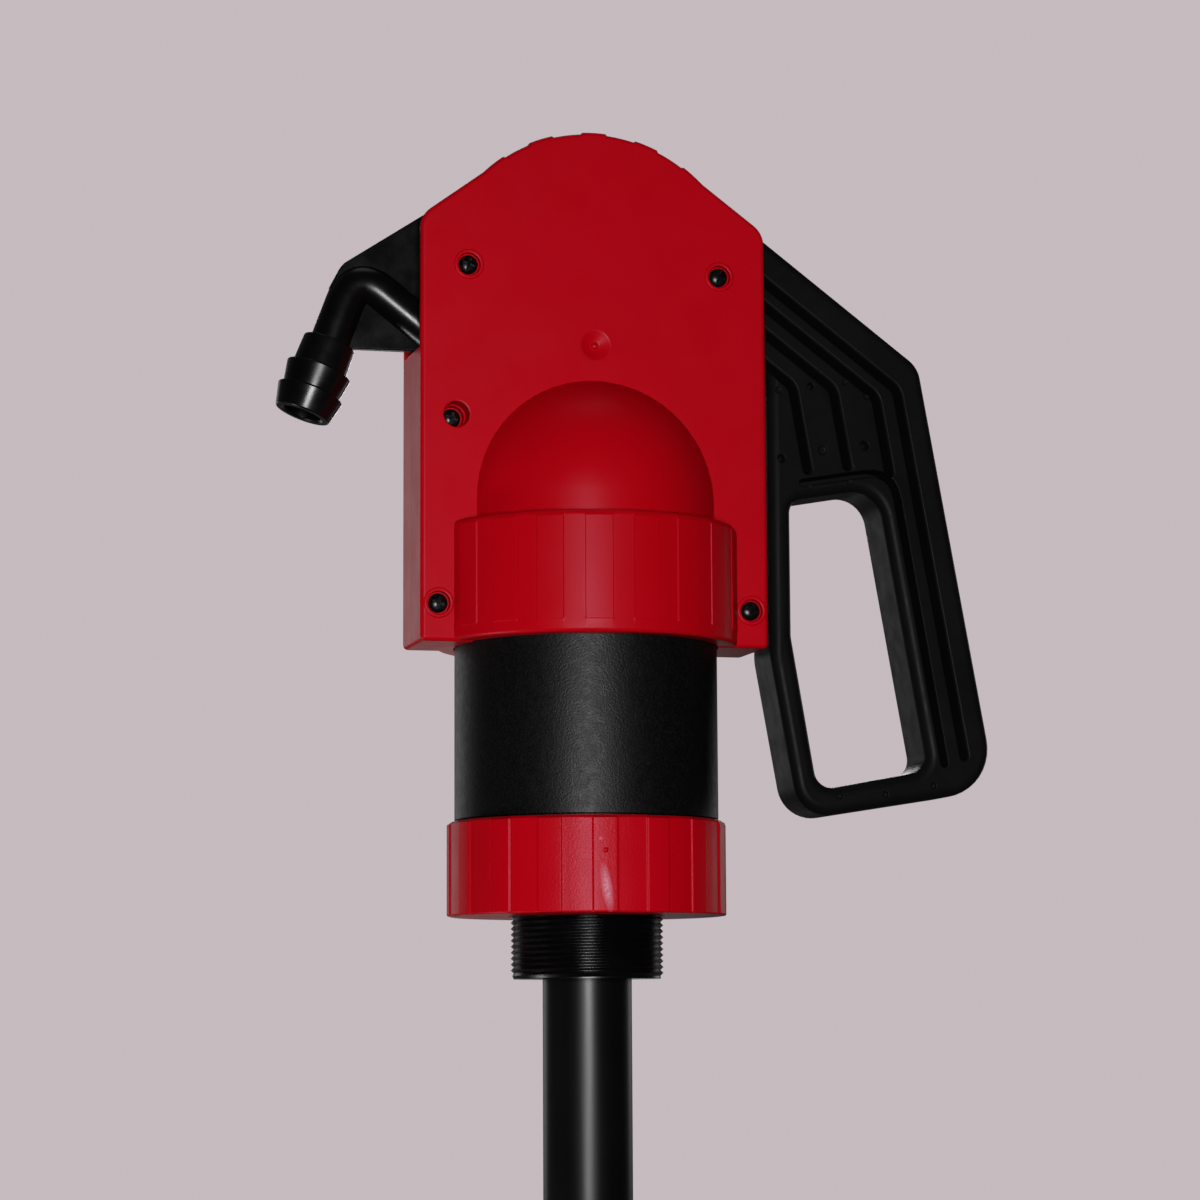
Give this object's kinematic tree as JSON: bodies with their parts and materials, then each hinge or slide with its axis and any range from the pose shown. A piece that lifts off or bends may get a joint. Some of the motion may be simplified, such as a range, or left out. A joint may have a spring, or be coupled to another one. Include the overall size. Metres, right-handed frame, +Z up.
{
  "type": "lever-action drum barrel pump",
  "caption": "Hand lever piston pump for a barrel: clamshell housing, threaded cylinder, hose-tail spout, bung thread and telescopic suction tube.",
  "frame": {"origin": "centre of the lower union nut's underside, where it seats on the drum's bung, on the pump axis", "axes": "+Z up along the pump axis, -Y out of the front cover with the screw heads, +X towards the operating lever, -X towards the spout"},
  "size_m": [0.288, 0.1204, 0.825],
  "materials": {
    "red_plastic": "semi-gloss moulded plastic",
    "lever_plastic": "satin glass-filled plastic",
    "moulded_black": "semi-gloss moulded plastic",
    "cylinder_plastic": "satin with a fine grain",
    "tube_plastic": "satin extruded pipe",
    "grey_plastic": "natural acetal",
    "seal_rubber": "nitrile rubber",
    "steel": "ground",
    "black_screw": "black oxide"
  },
  "bodies": {
    "pump": {"front_shell": "red_plastic", "back_shell": "red_plastic", "shell_screw_upper_left": "black_screw", "shell_screw_upper_right": "black_screw", "shell_screw_lower_left": "black_screw", "shell_screw_lower_right": "black_screw", "shell_screw_side_left": "black_screw", "pivot_sleeve": "steel", "cylinder": "cylinder_plastic", "cylinder_head": "moulded_black", "head_seal": "seal_rubber", "rod_seal": "seal_rubber", "gland_nut": "grey_plastic", "upper_nut": "red_plastic", "lower_nut": "red_plastic", "spout": "moulded_black", "spout_seal": "seal_rubber", "bung_adapter": "moulded_black", "adapter_seal": "seal_rubber", "inlet_valve_cage": "grey_plastic", "tube_seal": "seal_rubber", "suction_tube": "tube_plastic", "tube_ferrule": "moulded_black"},
    "lever": {"lever": "lever_plastic"},
    "piston": {"piston_rod": "steel", "rod_pin": "steel", "rod_pin_clip_front": "steel", "rod_pin_clip_back": "steel", "piston": "grey_plastic", "piston_seal": "seal_rubber", "piston_valve_stop": "grey_plastic", "piston_nut": "steel"},
    "piston_valve": {"piston_valve": "seal_rubber"},
    "inlet_valve": {"inlet_valve": "seal_rubber"},
    "lock_collar": {"lock_collar": "red_plastic"},
    "lower_tube": {"lower_tube": "tube_plastic", "tube_stop": "grey_plastic", "foot_strainer": "moulded_black"}
  },
  "joints": [
    {"name": "lever_pivot", "type": "hinge", "parent": "pump", "child": "lever", "pos_m": [0.051, 0, 0.2538], "axis": [0, -1, 0], "range_deg": [0, 65]},
    {"name": "piston_stroke", "type": "slide", "parent": "pump", "child": "piston", "axis": [0, 0, 1], "range_m": [-0.0651, 0.0001]},
    {"name": "piston_valve_lift", "type": "slide", "parent": "piston", "child": "piston_valve", "axis": [0, 0, 1], "range_m": [0, 0.003]},
    {"name": "inlet_valve_lift", "type": "slide", "parent": "pump", "child": "inlet_valve", "axis": [0, 0, 1], "range_m": [0, 0.003]},
    {"name": "lock_collar_turn", "type": "hinge", "parent": "pump", "child": "lock_collar", "pos_m": [0, 0, -0.478], "axis": [0, 0, 1], "range_deg": [0, 90]},
    {"name": "tube_telescope", "type": "slide", "parent": "pump", "child": "lower_tube", "axis": [0, 0, -1], "range_m": [0, 0.36]}
  ],
  "couplings": [
    {"joint": "piston_stroke", "follows": "lever_pivot", "m_per_rad": -0.057296}
  ]
}
